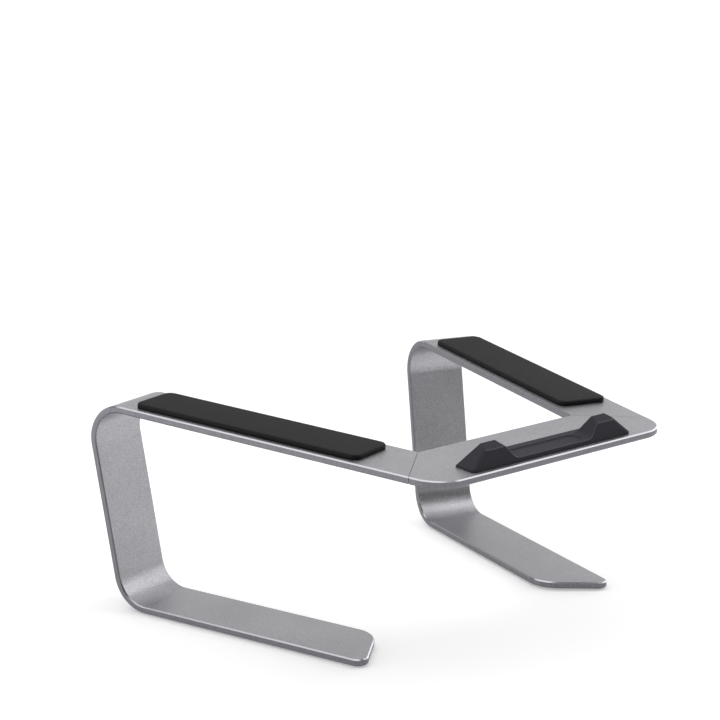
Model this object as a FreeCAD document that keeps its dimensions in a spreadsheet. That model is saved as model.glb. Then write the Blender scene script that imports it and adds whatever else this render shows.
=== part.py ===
import FreeCAD, Part
import os
import Sketcher

# Laptop riser of three aluminium plates: a front plate and two folded legs that splay out to the
# rear. The row frame has +X to the user's right, +Y to the rear and +Z up, with z = 0 on the table.
doc = FreeCAD.newDocument("laptop_riser")
sizes = doc.addObject("Spreadsheet::Sheet", "sizes")

# Driving dimensions in millimetres and degrees
driving = {
    # deck: the plane of the front plate and both arms, tilted up to the rear
    "deck_tilt": "2.85",
    "front_width": "173",
    "front_height": "110",
    "front_corner_radius": "20",
    # strip: one folded plate, from its seam with the front plate back, down and forward to the foot
    "sheet_thickness": "4",
    "strip_width": "39",
    "splay": "14.45",
    "arm_reach": "238.4",
    "leg_lean": "10.25",
    "bend_radius": "17.5",
    "foot_length": "170",
    "end_slant": "26.5",
    "foot_outer_radius": "5.5",
    "foot_inner_radius": "18",
    "edge_chamfer": "0.65",
    # seam: a half lap under the front plate, held by countersunk screws from below
    "seam_setback": "19.5",
    "seam_gap": "0.25",
    "tongue_thickness": "1.8",
    "tongue_length": "14",
    "tongue_margin": "7",
    "tongue_clearance": "0.2",
    "tongue_corner_radius": "3",
    "screw_diameter": "3",
    "screw_head_diameter": "5.6",
    "screw_hole_diameter": "3.4",
    "screw_pitch": "12",
    "screw_setback": "7",
    "screw_tip_clearance": "0.2",
    "tapped_skin": "0.5",
    "thread_clearance": "0.05",
    "hex_socket_width": "2",
    "hex_socket_depth": "1.1",
    # soft pads under each foot, half sunk in level seats
    "foot_pad_length": "32",
    "foot_pad_width": "13",
    "foot_pad_height": "1.6",
    "foot_pad_recess": "0.8",
    "foot_pad_clearance": "0.15",
    "foot_pad_chamfer": "0.4",
    "front_pad_setback": "50",
    "rear_pad_setback": "128",
    # soft pads on the arms
    "arm_pad_length": "150",
    "arm_pad_margin": "4",
    "arm_pad_height": "3",
    "arm_pad_bend_gap": "7",
    "arm_pad_corner_radius": "5",
    "arm_pad_edge_radius": "1",
    # moulded front stop with two humps and a sunk tray between them
    "stop_setback": "3.1",
    "stop_width": "120",
    "stop_ledge": "3.9",
    "stop_base_height": "2.5",
    "stop_front_lean": "18",
    "stop_end_lean": "48.5",
    "stop_corner_radius": "3.8",
    "stop_rear_corner_radius": "2.5",
    "stop_edge_radius": "0.8",
    "hump_height": "11.8",
    "hump_depth": "14.3",
    "hump_back_lean": "22",
    "hump_top_slope": "19",
    "hump_top_width": "10.3",
    "hump_inner_lean": "42",
    "hump_foot_radius": "3",
    "tray_end_margin": "2.25",
    "tray_depth": "10.6",
    "tray_sink": "0.7",
    "tray_rim": "2.7",
    "tray_corner_radius": "4",
}

# Sizes that follow from the driving ones. A strip's own frame has X along the arm to the rear from
# the deck's front corner, Y across the strip to the inside and Z square to the deck.
derived = {
    "strip_tilt": "=atan(cos(splay) * tan(deck_tilt)) / 1 deg",
    "leg_angle": "=leg_lean + strip_tilt",
    "bend_outer_radius": "=bend_radius + sheet_thickness",
    "foot_standoff": "=foot_pad_height - foot_pad_recess",
    "foot_drop": "=(front_height - foot_standoff) / cos(deck_tilt)",
    "fold_factor": "=1 + tan(leg_angle) * tan(strip_tilt)",
    "heel_z": "=-(foot_drop + arm_reach * tan(strip_tilt)) / fold_factor",
    "heel_x": "=arm_reach + heel_z * tan(leg_angle)",
    "leg_front_x": "=arm_reach - sheet_thickness / cos(leg_angle)",
    "foot_top_drop": "=foot_drop - sheet_thickness / cos(strip_tilt)",
    "instep_z": "=-(foot_top_drop + leg_front_x * tan(strip_tilt)) / fold_factor",
    "instep_x": "=leg_front_x + instep_z * tan(leg_angle)",
    "armpit_x": "=leg_front_x - sheet_thickness * tan(leg_angle)",
    "foot_tip_x": "=heel_x - foot_length * cos(strip_tilt)",
    "foot_cut_level": "=-foot_drop / 2",
    "slant": "=tan(end_slant)",
    "arm_front_x": "=seam_setback - tongue_length",
    "tongue_end": "=strip_width - tongue_margin",
    "lap_depth": "=sheet_thickness - tongue_thickness",
    "tapped_depth": "=lap_depth - tapped_skin",
    "screw_length": "=tongue_thickness + tapped_depth - screw_tip_clearance",
    "bend_centre_x": "=arm_reach - bend_outer_radius * (tan(leg_angle) + 1 / cos(leg_angle))",
    "rear_run": "=bend_centre_x * cos(splay) + (strip_width - edge_chamfer) * sin(splay)",
    "rear_bulge": "=bend_outer_radius * sqrt(pow(cos(splay) * cos(deck_tilt); 2) + pow(sin(deck_tilt); 2))",
    "rear_y": "=rear_run * cos(deck_tilt) + bend_outer_radius * sin(deck_tilt) + rear_bulge",
    "deck_front_y": "=-(rear_y + edge_chamfer * sin(deck_tilt)) / 2",
    "foot_shift_x": "=foot_drop * sin(strip_tilt)",
    "foot_shift_y": "=foot_drop * sin(splay) * sin(deck_tilt)",
    "plate_corner_run": "=seam_setback - seam_gap - edge_chamfer",
    "plate_corner_radius": "=min(front_corner_radius; plate_corner_run / tan((90 - splay) / 2))",
    "stop_half_width": "=stop_width / 2",
    "stop_depth": "=hump_depth + stop_ledge",
    "stop_base_half_top": "=stop_half_width - stop_base_height * tan(stop_end_lean)",
    "hump_outer_top": "=stop_half_width - hump_height * tan(stop_end_lean)",
    "hump_inner_top": "=hump_outer_top - hump_top_width",
    "hump_inner_foot": "=hump_inner_top - (hump_height - stop_base_height) * tan(hump_inner_lean)",
    "hump_rear": "=stop_setback + hump_depth",
    "hump_ridge": "=hump_rear - hump_height * tan(hump_back_lean)",
    "tray_front": "=stop_setback + tray_rim",
    "tray_half_width": "=hump_inner_foot - tray_end_margin",
}


def fill_sheet(cells, first_row):
    for row, (alias, content) in enumerate(cells.items(), first_row):
        sizes.set(f"A{row}", alias)
        sizes.set(f"B{row}", content)
        sizes.setAlias(f"B{row}", alias)


fill_sheet(driving, 1)
fill_sheet(derived, len(driving) + 2)
doc.recompute()

# Tolerance and directions for picking edges
near = 0.01
across = FreeCAD.Vector(0, 1, 0)
upright = FreeCAD.Vector(0, 0, 1)

# Frames of the sub-parts, as placement expressions
deck_turn = "rotation(vector(1; 0; 0); sizes.deck_tilt)"
strip_turn = "rotation(vector(0; 0; 1); 90 - sizes.splay)"
deck_frame = f"placement(vector(0; sizes.deck_front_y; sizes.front_height); {deck_turn})"
strip_frame = (
    "placement(vector(sizes.front_width / 2; sizes.deck_front_y; sizes.front_height);"
    f" {deck_turn} * {strip_turn})"
)
table_frame = f"placement(vector(sizes.front_width / 2; sizes.deck_front_y; 0); {strip_turn})"
table_in_strip = (
    "placement(vector(-sizes.front_height * cos(sizes.splay) * sin(sizes.deck_tilt);"
    " -sizes.front_height * sin(sizes.splay) * sin(sizes.deck_tilt);"
    " -sizes.front_height * cos(sizes.deck_tilt));"
    " rotation(vector(sin(sizes.splay); -cos(sizes.splay); 0); -sizes.deck_tilt))"
)


def new_body(name, frame):
    body = doc.addObject("PartDesign::Body", name)
    body.Label = name
    body.setExpression("Placement", frame)
    return body


def origin_plane(body, role):
    return [item for item in body.Origin.OriginFeatures if item.Role == role][0]


def new_sketch(body, name, plane, offset=None):
    sketch = body.newObject("Sketcher::SketchObject", name)
    sketch.AttachmentSupport = [(origin_plane(body, plane), "")]
    sketch.MapMode = "FlatFace"
    if offset:
        sketch.setExpression("AttachmentOffset", offset)
    return sketch


def bind_point(sketch, geometry, point, place):
    for kind, expression in zip(("DistanceX", "DistanceY"), place):
        start = sizes.evalExpression(expression)
        index = sketch.addConstraint(Sketcher.Constraint(kind, -1, 1, geometry, point, start))
        name = f"{kind}_{geometry}_{point}"
        sketch.renameConstraint(index, name)
        sketch.setExpression(f"Constraints.{name}", expression)


def bind_radius(sketch, geometry, expression):
    radius = sizes.evalExpression(expression)
    index = sketch.addConstraint(Sketcher.Constraint("Radius", geometry, radius))
    name = f"Radius_{geometry}"
    sketch.renameConstraint(index, name)
    sketch.setExpression(f"Constraints.{name}", expression)


def at(place):
    return FreeCAD.Vector(sizes.evalExpression(place[0]), sizes.evalExpression(place[1]), 0)


# A closed outline of straight edges whose corners are pairs of expressions
def draw_polygon(sketch, corners):
    first = sketch.GeometryCount
    following = corners[1:] + corners[:1]
    for start, end in zip(corners, following):
        sketch.addGeometry(Part.LineSegment(at(start), at(end)))
    count = len(corners)
    for step in range(count):
        after = first + (step + 1) % count
        sketch.addConstraint(Sketcher.Constraint("Coincident", first + step, 2, after, 1))
    for step, corner in enumerate(corners):
        bind_point(sketch, first + step, 1, corner)


def draw_circle(sketch, centre, radius):
    circle = Part.Circle(at(centre), upright, sizes.evalExpression(radius))
    index = sketch.addGeometry(circle)
    bind_point(sketch, index, 3, centre)
    bind_radius(sketch, index, radius)


def rectangle(low_x, high_x, low_y, high_y):
    return [(low_x, low_y), (high_x, low_y), (high_x, high_y), (low_x, high_y)]


def extrude(body, kind, name, sketch, length, reverse=False):
    feature = body.newObject(f"PartDesign::{kind}", name)
    feature.Profile = sketch
    feature.Reversed = reverse
    feature.setExpression("Length", length)
    doc.recompute()
    return feature


def dress(body, kind, name, base, edges, size):
    feature = body.newObject(f"PartDesign::{kind}", name)
    feature.Base = (base, edges)
    feature.setExpression("Radius" if kind == "Fillet" else "Size", size)
    doc.recompute()
    return feature


def edges_where(feature, test):
    return [f"Edge{number}" for number, edge in enumerate(feature.Shape.Edges, 1) if test(edge)]


def runs_along(edge, axis):
    if edge.Curve.TypeId != "Part::GeomLine":
        return False
    ends = [vertex.Point for vertex in edge.Vertexes]
    return (ends[1] - ends[0]).normalize().cross(axis).Length < near


def fold_edges(feature, corners):
    def on_corner(edge):
        middle = edge.CenterOfMass
        here = [abs(middle.x - x) + abs(middle.z - z) < near for x, z in corners]
        return runs_along(edge, across) and any(here)
    return edges_where(feature, on_corner)


# The leg: a strip of sheet folded square across at two bends. Its sharp section is padded across the
# strip, then the bends are rounded about one centre inside and out.
def make_leg(name):
    body = new_body(name, strip_frame)
    section = new_sketch(body, f"{name}_section", "XZ_Plane")
    foot_low = "-sizes.foot_drop - sizes.foot_tip_x * tan(sizes.strip_tilt)"
    foot_high = "-sizes.foot_top_drop - sizes.foot_tip_x * tan(sizes.strip_tilt)"
    draw_polygon(section, [
        ("sizes.arm_front_x", "0"),
        ("sizes.arm_reach", "0"),
        ("sizes.heel_x", "sizes.heel_z"),
        ("sizes.foot_tip_x", foot_low),
        ("sizes.foot_tip_x", foot_high),
        ("sizes.instep_x", "sizes.instep_z"),
        ("sizes.armpit_x", "-sizes.sheet_thickness"),
        ("sizes.arm_front_x", "-sizes.sheet_thickness"),
    ])
    strip = extrude(body, "Pad", f"{name}_strip", section, "sizes.strip_width", reverse=True)
    inner = [(sizes.armpit_x, -sizes.sheet_thickness), (sizes.instep_x, sizes.instep_z)]
    folds = fold_edges(strip, inner)
    bends = dress(body, "Fillet", f"{name}_inner_bends", strip, folds, "sizes.bend_radius")
    outer = fold_edges(bends, [(sizes.arm_reach, 0), (sizes.heel_x, sizes.heel_z)])
    dress(body, "Fillet", f"{name}_outer_bends", bends, outer, "sizes.bend_outer_radius")
    cut_foot_tip(body, name)
    arm = cut_arm_end(body, name)
    rim_edges = edges_where(arm, is_strip_rim)
    dress(body, "Chamfer", f"{name}_rim", arm, rim_edges, "sizes.edge_chamfer")
    cut_lap(body, name)
    cut_screw_holes(body, name)
    cut_pad_seats(body, name)
    return body


# The strip's ends are cut on a slant, so that the outer edge is the longer one
def slant_line(x, y):
    return (f"{x} + ({y}) * sizes.slant", y)


beyond = "sizes.strip_width"


def cut_foot_tip(body, name):
    level = "placement(vector(0; 0; sizes.foot_cut_level); rotation(vector(0; 0; 1); 0))"
    sketch = new_sketch(body, f"{name}_foot_outline", "XY_Plane", level)
    ahead = f"sizes.foot_tip_x - {beyond}"
    draw_polygon(sketch, [
        (ahead, f"-{beyond}"),
        slant_line("sizes.foot_tip_x", f"-{beyond}"),
        slant_line("sizes.foot_tip_x", f"2 * {beyond}"),
        (ahead, f"2 * {beyond}"),
    ])
    cut = extrude(body, "Pocket", f"{name}_foot_cut", sketch, "sizes.foot_drop")

    def outer_corner(edge):
        middle = edge.CenterOfMass
        return runs_along(edge, upright) and abs(middle.y) < near and middle.z < sizes.foot_cut_level

    def inner_corner(edge):
        middle = edge.CenterOfMass
        at_width = abs(middle.y - sizes.strip_width) < near
        return runs_along(edge, upright) and at_width and middle.z < sizes.foot_cut_level

    outer_edges = edges_where(cut, outer_corner)
    tip = dress(body, "Fillet", f"{name}_foot_outer_corner", cut, outer_edges, "sizes.foot_outer_radius")
    inner_edges = edges_where(tip, inner_corner)
    dress(body, "Fillet", f"{name}_foot_inner_corner", tip, inner_edges, "sizes.foot_inner_radius")


# Ahead of the seam only the tongue is left, set in from both edges of the strip
def tongue_corners():
    return [
        slant_line("sizes.seam_setback", "sizes.tongue_margin"),
        slant_line("sizes.arm_front_x", "sizes.tongue_margin"),
        slant_line("sizes.arm_front_x", "sizes.tongue_end"),
        slant_line("sizes.seam_setback", "sizes.tongue_end"),
    ]


def cut_arm_end(body, name):
    sketch = new_sketch(body, f"{name}_tongue_outline", "XY_Plane")
    ahead = f"sizes.arm_front_x - {beyond}"
    draw_polygon(sketch, [
        (ahead, f"-{beyond}"),
        slant_line("sizes.seam_setback", f"-{beyond}"),
        *tongue_corners(),
        slant_line("sizes.seam_setback", f"2 * {beyond}"),
        (ahead, f"2 * {beyond}"),
    ])
    cut = extrude(body, "Pocket", f"{name}_arm_cut", sketch, "sizes.sheet_thickness")

    def tongue_end(edge):
        middle = edge.CenterOfMass
        on_end = abs(middle.x - sizes.arm_front_x - middle.y * sizes.slant) < near
        return runs_along(edge, upright) and on_end and middle.z > sizes.foot_cut_level

    edges = edges_where(cut, tongue_end)
    return dress(body, "Fillet", f"{name}_tongue_corners", cut, edges, "sizes.tongue_corner_radius")


# The rim: both long edges of the strip and the edges round the foot's tip, on both faces of the sheet
def is_strip_rim(edge):
    places = [vertex.Y for vertex in edge.Vertexes]
    outer_side = all(abs(y) < near for y in places)
    inner_side = all(abs(y - sizes.strip_width) < near for y in places)
    middle = edge.CenterOfMass
    ahead_of_bend = middle.x < sizes.instep_x - sizes.bend_radius
    at_tip = middle.z < sizes.foot_cut_level and ahead_of_bend and not runs_along(edge, across)
    return (outer_side or inner_side or at_tip) and not runs_along(edge, upright)


def cut_lap(body, name):
    sketch = new_sketch(body, f"{name}_lap_outline", "XY_Plane")
    ahead = f"sizes.arm_front_x - {beyond}"
    draw_polygon(sketch, [
        (ahead, f"-{beyond}"),
        slant_line("sizes.seam_setback", f"-{beyond}"),
        slant_line("sizes.seam_setback", f"2 * {beyond}"),
        (ahead, f"2 * {beyond}"),
    ])
    extrude(body, "Pocket", f"{name}_lap", sketch, "sizes.lap_depth")


def screw_places():
    ahead = "sizes.seam_setback - sizes.screw_setback"
    return [slant_line(ahead, f"sizes.strip_width / 2 {side} sizes.screw_pitch / 2") for side in "-+"]


def cut_screw_holes(body, name):
    sketch = new_sketch(body, f"{name}_screw_places", "XY_Plane")
    for place in screw_places():
        draw_circle(sketch, place, "sizes.screw_hole_diameter / 2")
    holes = extrude(body, "Pocket", f"{name}_screw_holes", sketch, "sizes.sheet_thickness")

    def lower_rim(edge):
        round_edge = edge.Curve.TypeId == "Part::GeomCircle"
        fits = round_edge and abs(edge.Curve.Radius - sizes.screw_hole_diameter / 2) < near
        return fits and abs(edge.CenterOfMass.z + sizes.sheet_thickness) < near

    sink = "(sizes.screw_head_diameter - sizes.screw_hole_diameter) / 2"
    dress(body, "Chamfer", f"{name}_countersinks", holes, edges_where(holes, lower_rim), sink)


# Foot pads lie level on the table, so their seats are milled level into the foot
def pad_outline(setback, clearance):
    middle_x = f"sizes.foot_tip_x / cos(sizes.strip_tilt) + sizes.foot_shift_x + sizes.{setback}"
    middle_y = "sizes.foot_shift_y + sizes.strip_width / 2"
    half_x = f"(sizes.foot_pad_length / 2 + {clearance})"
    half_y = f"(sizes.foot_pad_width / 2 + {clearance})"
    return rectangle(
        f"{middle_x} - {half_x}", f"{middle_x} + {half_x}",
        f"{middle_y} - {half_y}", f"{middle_y} + {half_y}",
    )


pad_setbacks = {"front": "front_pad_setback", "rear": "rear_pad_setback"}


def cut_pad_seats(body, name):
    table_up = table_in_strip_up()

    def is_seat_corner(edge):
        return runs_along(edge, table_up) and edge.Length < sizes.foot_pad_height

    for end, setback in pad_setbacks.items():
        sketch = new_sketch(body, f"{name}_{end}_seat_outline", "XY_Plane", table_in_strip)
        draw_polygon(sketch, pad_outline(setback, "sizes.foot_pad_clearance"))
        seat = extrude(body, "Pocket", f"{name}_{end}_seat", sketch, "sizes.foot_pad_height", reverse=True)
        corners = edges_where(seat, is_seat_corner)
        dress(body, "Fillet", f"{name}_{end}_seat_ends", seat, corners, "sizes.foot_pad_width / 2")


# The table's upward direction, seen in the strip's frame
def table_in_strip_up():
    tilt = FreeCAD.Rotation(FreeCAD.Vector(1, 0, 0), sizes.deck_tilt)
    turn = FreeCAD.Rotation(FreeCAD.Vector(0, 0, 1), 90 - sizes.splay)
    return (tilt * turn).inverted().multVec(FreeCAD.Vector(0, 0, 1))


def is_upright(edge):
    return runs_along(edge, upright)


def make_foot_pad(name, setback):
    body = new_body(name, table_frame)
    sketch = new_sketch(body, f"{name}_outline", "XY_Plane")
    draw_polygon(sketch, pad_outline(setback, "0"))
    block = extrude(body, "Pad", f"{name}_block", sketch, "sizes.foot_pad_height")
    end_radius = "sizes.foot_pad_width / 2 - sizes.foot_pad_clearance"
    ends = dress(body, "Fillet", f"{name}_ends", block, edges_where(block, is_upright), end_radius)
    lower = edges_where(ends, lambda edge: edge.BoundBox.ZMax < near)
    dress(body, "Chamfer", f"{name}_lower_edge", ends, lower, "sizes.foot_pad_chamfer")
    return body


def make_arm_pad(name):
    body = new_body(name, strip_frame)
    sketch = new_sketch(body, f"{name}_outline", "XY_Plane")
    rear = "sizes.bend_centre_x - sizes.arm_pad_bend_gap"
    inner = "sizes.strip_width - sizes.arm_pad_margin"
    draw_polygon(sketch, rectangle(f"{rear} - sizes.arm_pad_length", rear, "sizes.arm_pad_margin", inner))
    block = extrude(body, "Pad", f"{name}_block", sketch, "sizes.arm_pad_height")
    upright_edges = edges_where(block, is_upright)
    pad = dress(body, "Fillet", f"{name}_corners", block, upright_edges, "sizes.arm_pad_corner_radius")
    top = edges_where(pad, lambda edge: edge.BoundBox.ZMin > sizes.arm_pad_height - near)
    dress(body, "Fillet", f"{name}_top_edge", pad, top, "sizes.arm_pad_edge_radius")
    return body


# The front plate fills the deck ahead of both seams
def plate_side(sign):
    seam_outer = "(sizes.seam_setback - sizes.seam_gap)"
    seam_inner = f"({seam_outer} + sizes.strip_width * sizes.slant)"
    half = "sizes.front_width / 2"
    inner_x = f"({half} + {seam_inner} * sin(sizes.splay) - sizes.strip_width * cos(sizes.splay))"
    inner_y = f"{seam_inner} * cos(sizes.splay) + sizes.strip_width * sin(sizes.splay)"
    outer_x = f"({half} + {seam_outer} * sin(sizes.splay))"
    return [
        (f"{sign}{half}", "0"),
        (f"{sign}{outer_x}", f"{seam_outer} * cos(sizes.splay)"),
        (f"{sign}{inner_x}", inner_y),
    ]


def make_front_plate(name):
    body = new_body(name, deck_frame)
    sketch = new_sketch(body, f"{name}_outline", "XY_Plane")
    draw_polygon(sketch, plate_side("") + plate_side("-")[::-1])
    blank = extrude(body, "Pad", f"{name}_blank", sketch, "sizes.sheet_thickness", reverse=True)
    front = edges_where(blank, lambda edge: is_upright(edge) and edge.CenterOfMass.y < near)
    plate = dress(body, "Fillet", f"{name}_front_corners", blank, front, "sizes.plate_corner_radius")
    rim_edges = edges_where(plate, is_plate_rim)
    dress(body, "Chamfer", f"{name}_rim", plate, rim_edges, "sizes.edge_chamfer")
    right_cuts = cut_tongue_seat(body, name)
    mirrored = body.newObject("PartDesign::Mirrored", f"{name}_other_seam")
    mirrored.Originals = right_cuts
    mirrored.MirrorPlane = (origin_plane(body, "YZ_Plane"), [""])
    body.Tip = mirrored
    doc.recompute()
    return body


# The plate's rim is chamfered on both faces all round, apart from the two seams
def is_plate_rim(edge):
    heading = FreeCAD.Rotation(upright, 90 - sizes.splay).multVec(FreeCAD.Vector(1, 0, 0))
    other_heading = FreeCAD.Vector(-heading.x, heading.y, 0)
    on_side = runs_along(edge, heading) or runs_along(edge, other_heading)
    seam_inner_x = sizes.evalExpression(plate_side("")[2][0])
    straight = edge.Curve.TypeId == "Part::GeomLine"
    on_seam = straight and abs(edge.CenterOfMass.x) > seam_inner_x and not on_side
    return edge.BoundBox.ZLength < near and not on_seam


# A seat for the leg's tongue, milled in the underside, with tapped holes in its roof
def cut_tongue_seat(body, name):
    low_face = "placement(vector(sizes.front_width / 2; 0; -sizes.sheet_thickness);"
    sketch = new_sketch(body, f"{name}_seat_outline", "XY_Plane", f"{low_face} {strip_turn})")
    low_y = "sizes.tongue_margin - sizes.tongue_clearance"
    high_y = "sizes.tongue_end + sizes.tongue_clearance"
    ahead = "sizes.arm_front_x - sizes.tongue_clearance"
    draw_polygon(sketch, [
        slant_line("sizes.seam_setback", low_y),
        slant_line(ahead, low_y),
        slant_line(ahead, high_y),
        slant_line("sizes.seam_setback", high_y),
    ])
    seat = extrude(body, "Pocket", f"{name}_seat", sketch, "sizes.tongue_thickness", reverse=True)
    roof = "placement(vector(sizes.front_width / 2; 0; -sizes.lap_depth);"
    circles = new_sketch(body, f"{name}_tapped_places", "XY_Plane", f"{roof} {strip_turn})")
    for place in screw_places():
        draw_circle(circles, place, "sizes.screw_diameter / 2")
    tapped = extrude(body, "Pocket", f"{name}_tapped_holes", circles, "sizes.tapped_depth", reverse=True)
    return [seat, tapped]


# The front stop: one soft moulding of a low base, a hump at each end and a sunk tray between them.
# Its front and the humps' backs lean in, its ends slope, and the humps' tops fall to the front.
def make_front_stop(name):
    body = new_body(name, deck_frame)
    face = "placement(vector(0; 0; -sizes.stop_setback); rotation(vector(0; 0; 1); 0))"
    base_sketch = new_sketch(body, f"{name}_base_section", "XZ_Plane", face)
    draw_polygon(base_sketch, [
        ("-sizes.stop_half_width", "0"),
        ("sizes.stop_half_width", "0"),
        ("sizes.stop_base_half_top", "sizes.stop_base_height"),
        ("-sizes.stop_base_half_top", "sizes.stop_base_height"),
    ])
    base = extrude(body, "Pad", f"{name}_base", base_sketch, "sizes.stop_depth", reverse=True)

    def is_rear_corner(edge):
        rear = sizes.stop_setback + sizes.stop_depth
        return edge.BoundBox.ZLength > near and edge.BoundBox.YMin > rear - near

    rear_corners = edges_where(base, is_rear_corner)
    dress(body, "Fillet", f"{name}_rear_corners", base, rear_corners, "sizes.stop_rear_corner_radius")
    hump_sketch = new_sketch(body, f"{name}_hump_sections", "XZ_Plane", face)
    for sign in ("", "-"):
        draw_polygon(hump_sketch, [
            (f"{sign}sizes.hump_inner_foot", "sizes.stop_base_height"),
            (f"{sign}sizes.stop_base_half_top", "sizes.stop_base_height"),
            (f"{sign}sizes.hump_outer_top", "sizes.hump_height"),
            (f"{sign}sizes.hump_inner_top", "sizes.hump_height"),
        ])
    extrude(body, "Pad", f"{name}_humps", hump_sketch, "sizes.hump_depth", reverse=True)
    cut_lean(body, f"{name}_front", "sizes.stop_setback", "+", "sizes.stop_front_lean", "0")
    back_low = "sizes.stop_base_height"
    cut_lean(body, f"{name}_hump_backs", "sizes.hump_rear", "-", "sizes.hump_back_lean", back_low)
    cut_tops(body, name)
    cut_tray(body, name)
    round_stop(body, name)
    return body


# Cuts from end to end of the stop whatever lies in an outline drawn on its side
def cut_along(body, name, corners):
    side = "placement(vector(0; 0; -sizes.stop_width); rotation(vector(0; 0; 1); 0))"
    sketch = new_sketch(body, f"{name}_outline", "YZ_Plane", side)
    draw_polygon(sketch, corners)
    extrude(body, "Pocket", f"{name}_face", sketch, "2 * sizes.stop_width", reverse=True)


above_humps = "2 * sizes.hump_height"


# Trims a face of the stop to its lean, from the given height up
def cut_lean(body, name, foot, sign, lean, low):
    away = "-" if sign == "+" else "+"
    cut_along(body, name, [
        (f"{foot} {sign} {low} * tan({lean})", low),
        (f"{foot} {sign} {above_humps} * tan({lean})", above_humps),
        (f"{foot} {away} sizes.hump_height", above_humps),
        (f"{foot} {away} sizes.hump_height", low),
    ])


def cut_tops(body, name):
    ridge, front = "sizes.hump_ridge", "sizes.stop_setback"
    cut_along(body, f"{name}_hump_tops", [
        (ridge, "sizes.hump_height"),
        (ridge, above_humps),
        (front, above_humps),
        (front, f"sizes.hump_height - ({ridge} - {front}) * tan(sizes.hump_top_slope)"),
    ])


def cut_tray(body, name):
    top = "placement(vector(0; 0; sizes.stop_base_height); rotation(vector(0; 0; 1); 0))"
    sketch = new_sketch(body, f"{name}_tray_outline", "XY_Plane", top)
    end = "sizes.tray_half_width"
    rear = "sizes.tray_front + sizes.tray_depth"
    draw_polygon(sketch, rectangle(f"-{end}", end, "sizes.tray_front", rear))
    tray = extrude(body, "Pocket", f"{name}_tray", sketch, "sizes.tray_sink")
    corners = edges_where(tray, lambda edge: is_upright(edge) and edge.BoundBox.ZMin > near)
    dress(body, "Fillet", f"{name}_tray_corners", tray, corners, "sizes.tray_corner_radius")


# The humps run out into the base in wide hollows, the outer corners are rounded more than the other
# edges, and the foot and the tray stay sharp
def round_stop(body, name):
    def is_hollow(edge):
        middle = edge.CenterOfMass
        at_foot = abs(abs(middle.x) - sizes.hump_inner_foot) < near
        return at_foot and abs(middle.z - sizes.stop_base_height) < near

    def is_front_corner(edge):
        box = edge.BoundBox
        slopes = box.ZLength > near and box.XLength > near
        middle = edge.CenterOfMass
        return slopes and abs(middle.x) > sizes.hump_outer_top and middle.y < sizes.tray_front

    def is_soft_edge(edge):
        box = edge.BoundBox
        return box.ZMin > sizes.stop_base_height - near and box.ZMax > sizes.stop_base_height + near

    hollows = edges_where(body.Tip, is_hollow)
    stop = dress(body, "Fillet", f"{name}_hollows", body.Tip, hollows, "sizes.hump_foot_radius")
    corners = edges_where(stop, is_front_corner)
    stop = dress(body, "Fillet", f"{name}_front_corners", stop, corners, "sizes.stop_corner_radius")
    soft = edges_where(stop, is_soft_edge)
    dress(body, "Fillet", f"{name}_soft_edges", stop, soft, "sizes.stop_edge_radius")


# A countersunk screw with a hexagon socket, its head flush with the tongue's underside
def make_screw(name, place):
    spot = f"vector({place[0]}; {place[1]}; -sizes.sheet_thickness)"
    body = new_body(name, f"{strip_frame} * placement({spot}; rotation(vector(0; 0; 1); 0))")
    shank = "(sizes.screw_diameter / 2 - sizes.thread_clearance)"
    head = "sizes.screw_head_diameter / 2"
    sketch = new_sketch(body, f"{name}_section", "XZ_Plane")
    draw_polygon(sketch, [
        ("0", "0"),
        (head, "0"),
        (shank, f"{head} - {shank}"),
        (shank, "sizes.screw_length"),
        ("0", "sizes.screw_length"),
    ])
    turned = body.newObject("PartDesign::Revolution", f"{name}_turned")
    turned.Profile = sketch
    turned.ReferenceAxis = (sketch, ["V_Axis"])
    turned.Angle = 360
    doc.recompute()
    socket = new_sketch(body, f"{name}_socket_outline", "XY_Plane")
    reach = "sizes.hex_socket_width / 2 / cos(30)"
    turns = range(0, 360, 60)
    draw_polygon(socket, [(f"{reach} * cos({turn})", f"{reach} * sin({turn})") for turn in turns])
    extrude(body, "Pocket", f"{name}_socket", socket, "sizes.hex_socket_depth", reverse=True)
    return body


def mirror_piece(source, name):
    piece = doc.addObject("Part::Mirroring", name)
    piece.Label = name
    piece.Source = source
    piece.Normal = FreeCAD.Vector(1, 0, 0)
    doc.recompute()
    return piece


right_leg = make_leg("right_leg")
right_arm_pad = make_arm_pad("right_arm_pad")
right_foot_pads = [make_foot_pad(f"right_{end}_foot_pad", pad_setbacks[end]) for end in pad_setbacks]
numbered_places = enumerate(screw_places(), 1)
right_screws = [make_screw(f"right_screw_{number}", place) for number, place in numbered_places]

pieces = [right_leg, right_arm_pad, *right_foot_pads]
pieces += [mirror_piece(piece, piece.Label.replace("right", "left")) for piece in list(pieces)]
pieces += [make_front_plate("front_plate"), make_front_stop("front_stop")]

left_screws = [mirror_piece(screw, screw.Label.replace("right", "left")) for screw in right_screws]
joint_screws = doc.addObject("Part::Compound", "joint_screws")
joint_screws.Label = "joint_screws"
joint_screws.Links = right_screws + left_screws
pieces.append(joint_screws)
doc.recompute()

failed = [item.Label for item in doc.Objects if "Invalid" in item.State or "Error" in item.State]
if failed:
    raise RuntimeError("failed features: " + ", ".join(failed))
for piece in pieces:
    if piece.Shape.isNull() or not piece.Shape.isValid():
        raise RuntimeError("bad shape: " + piece.Label)

os.makedirs("parts", exist_ok=True)
for piece in pieces:
    piece.Shape.exportStep(f"parts/{piece.Label}.step")
    print(piece.Label, len(piece.Shape.Solids), "solids", round(piece.Shape.Volume, 1), "mm3")
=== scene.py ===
from math import cos, pi, radians, sin, tan

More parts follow.
